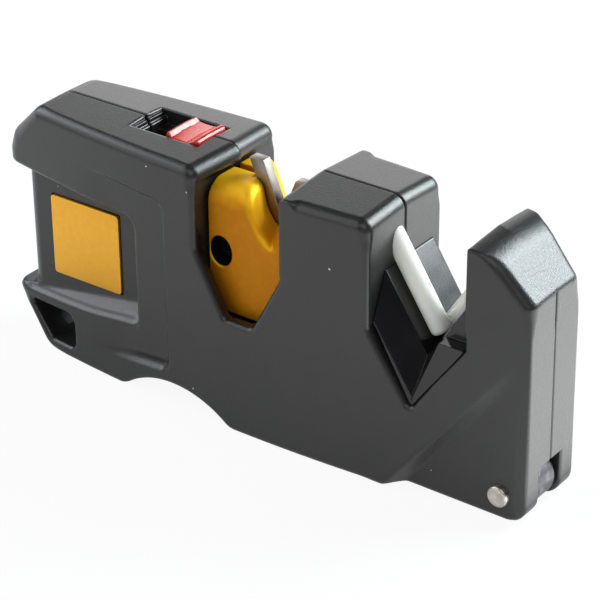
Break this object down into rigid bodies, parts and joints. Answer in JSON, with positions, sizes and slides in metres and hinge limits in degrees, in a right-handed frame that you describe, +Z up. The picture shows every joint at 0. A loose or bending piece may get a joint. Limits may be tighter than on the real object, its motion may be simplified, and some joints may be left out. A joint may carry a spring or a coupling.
{
  "type": "manual knife sharpener",
  "caption": "Hand-held pull-through knife sharpener with a rocking carbide notch, a ceramic honing notch, a slide lock and a folding tapered rod in its base.",
  "frame": {"origin": "middle of the base, on the surface that the sharpener stands on", "axes": "+X along the length towards the hinge of the folding rod, +Y from the front face to the rear, +Z up towards the notches"},
  "size_m": [0.1168, 0.025, 0.0518],
  "materials": {
    "casing": "fine textured black",
    "badge": "satin gold",
    "holder": "glossy black",
    "ceramic": "fine matt off-white",
    "carrier": "satin gold-yellow",
    "carbide": "ground grey",
    "button": "glossy red",
    "slider": "moulded black",
    "knuckle": "worn grey",
    "abrasive": "diamond coated",
    "pin_steel": "turned",
    "screw_steel": "zinc plated",
    "spring_steel": "drawn wire",
    "bush_brass": "turned"
  },
  "bodies": {
    "case": {"front_shell": "casing", "rear_shell": "casing", "badge_plate": "badge", "case_screws": "screw_steel", "case_inserts": "bush_brass", "ceramic_holder": "holder", "ceramic_left": "ceramic", "ceramic_right": "ceramic", "axle_bushes": "bush_brass", "centring_springs": "spring_steel", "lock_spring": "spring_steel", "hinge_pin": "pin_steel", "friction_washers": "bush_brass"},
    "carrier": {"carrier_front": "carrier", "carrier_rear": "carrier", "carbide_left": "carbide", "carbide_right": "carbide", "carrier_axle": "pin_steel", "carrier_screws": "screw_steel", "carrier_nuts": "screw_steel"},
    "lock": {"lock_button": "button", "lock_slider": "slider", "lock_screw": "screw_steel"},
    "rod": {"rod_knuckle": "knuckle", "knuckle_bush": "bush_brass", "diamond_rod": "abrasive"}
  },
  "joints": [
    {"name": "carrier_pivot", "type": "hinge", "parent": "case", "child": "carrier", "pos_m": [0, 0, 0.0295], "axis": [1, 0, 0], "range_deg": [-10, 10], "stiffness_Nm_per_rad": 0.3, "deforming": ["centring_springs"]},
    {"name": "lock_slide", "type": "slide", "parent": "case", "child": "lock", "axis": [-1, 0, 0], "range_m": [0, 0.0065]},
    {"name": "rod_fold", "type": "hinge", "parent": "case", "child": "rod", "pos_m": [0.053, 0, 0.0048], "axis": [0, -1, 0], "range_deg": [0, 180]}
  ]
}
